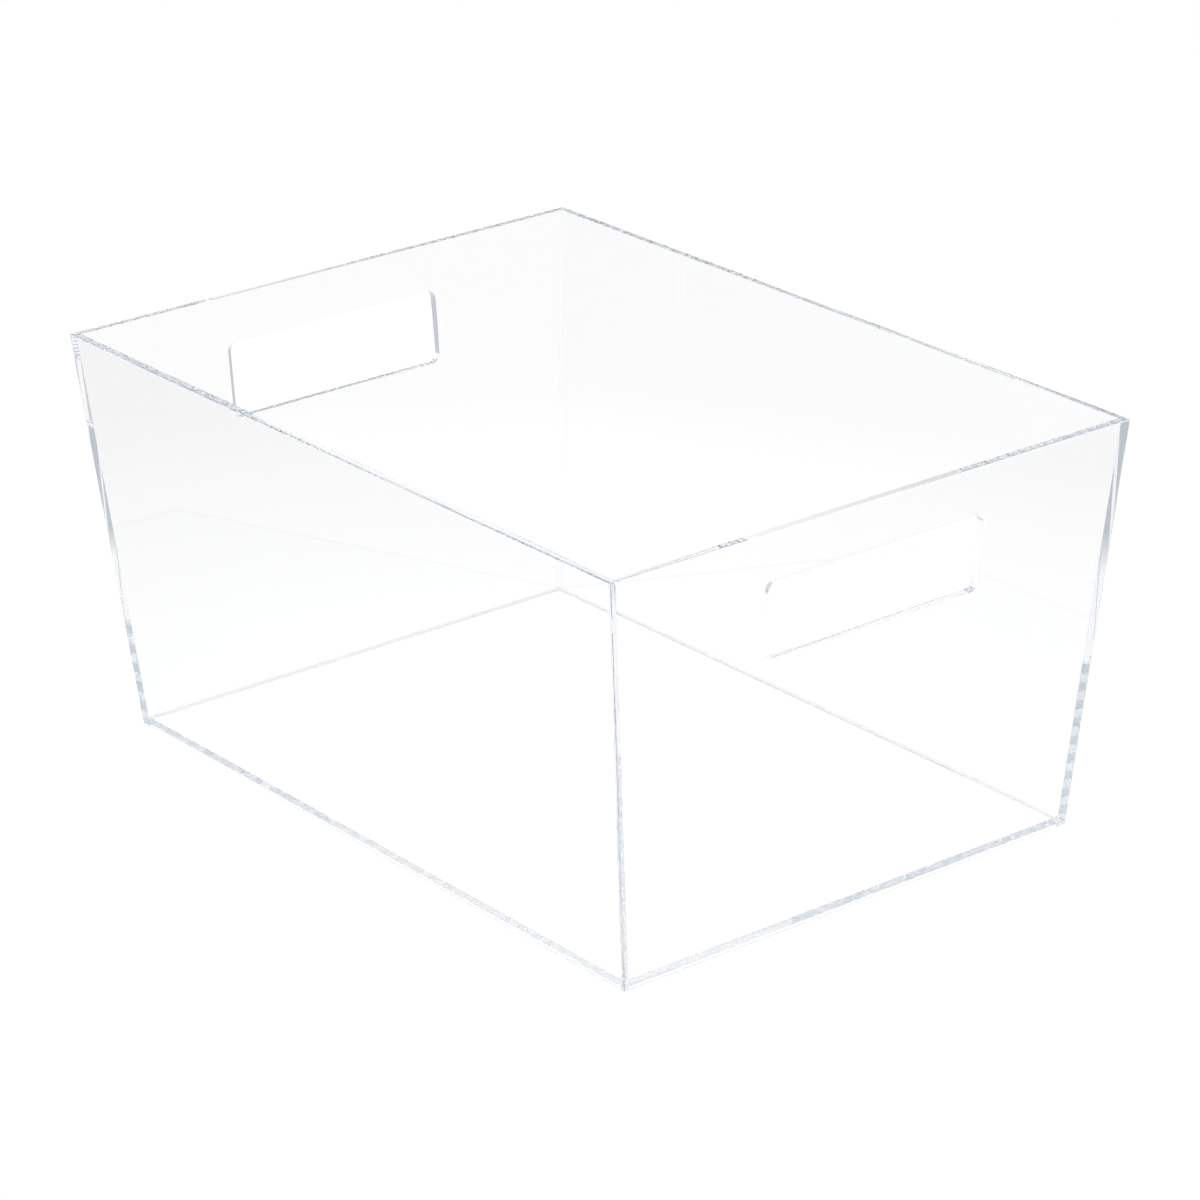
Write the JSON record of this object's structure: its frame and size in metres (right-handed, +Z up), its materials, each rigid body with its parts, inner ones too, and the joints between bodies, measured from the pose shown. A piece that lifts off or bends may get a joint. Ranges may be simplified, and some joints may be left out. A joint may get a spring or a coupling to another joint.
{
  "type": "open storage bin",
  "caption": "Clear acrylic open-top storage bin with flared flat walls and a rounded hand-hole in each end.",
  "frame": {"origin": "centre of the foot, on the surface the bin stands on", "axes": "+Z up, +X along the length towards one hand-hole, +Y across the width"},
  "size_m": [0.415, 0.3, 0.203],
  "materials": {
    "clear_acrylic": "clear, polished faces and edges"
  },
  "bodies": {
    "root": {"base_panel": "clear_acrylic", "front_wall": "clear_acrylic", "back_wall": "clear_acrylic", "left_end_wall": "clear_acrylic", "right_end_wall": "clear_acrylic"}
  },
  "joints": []
}
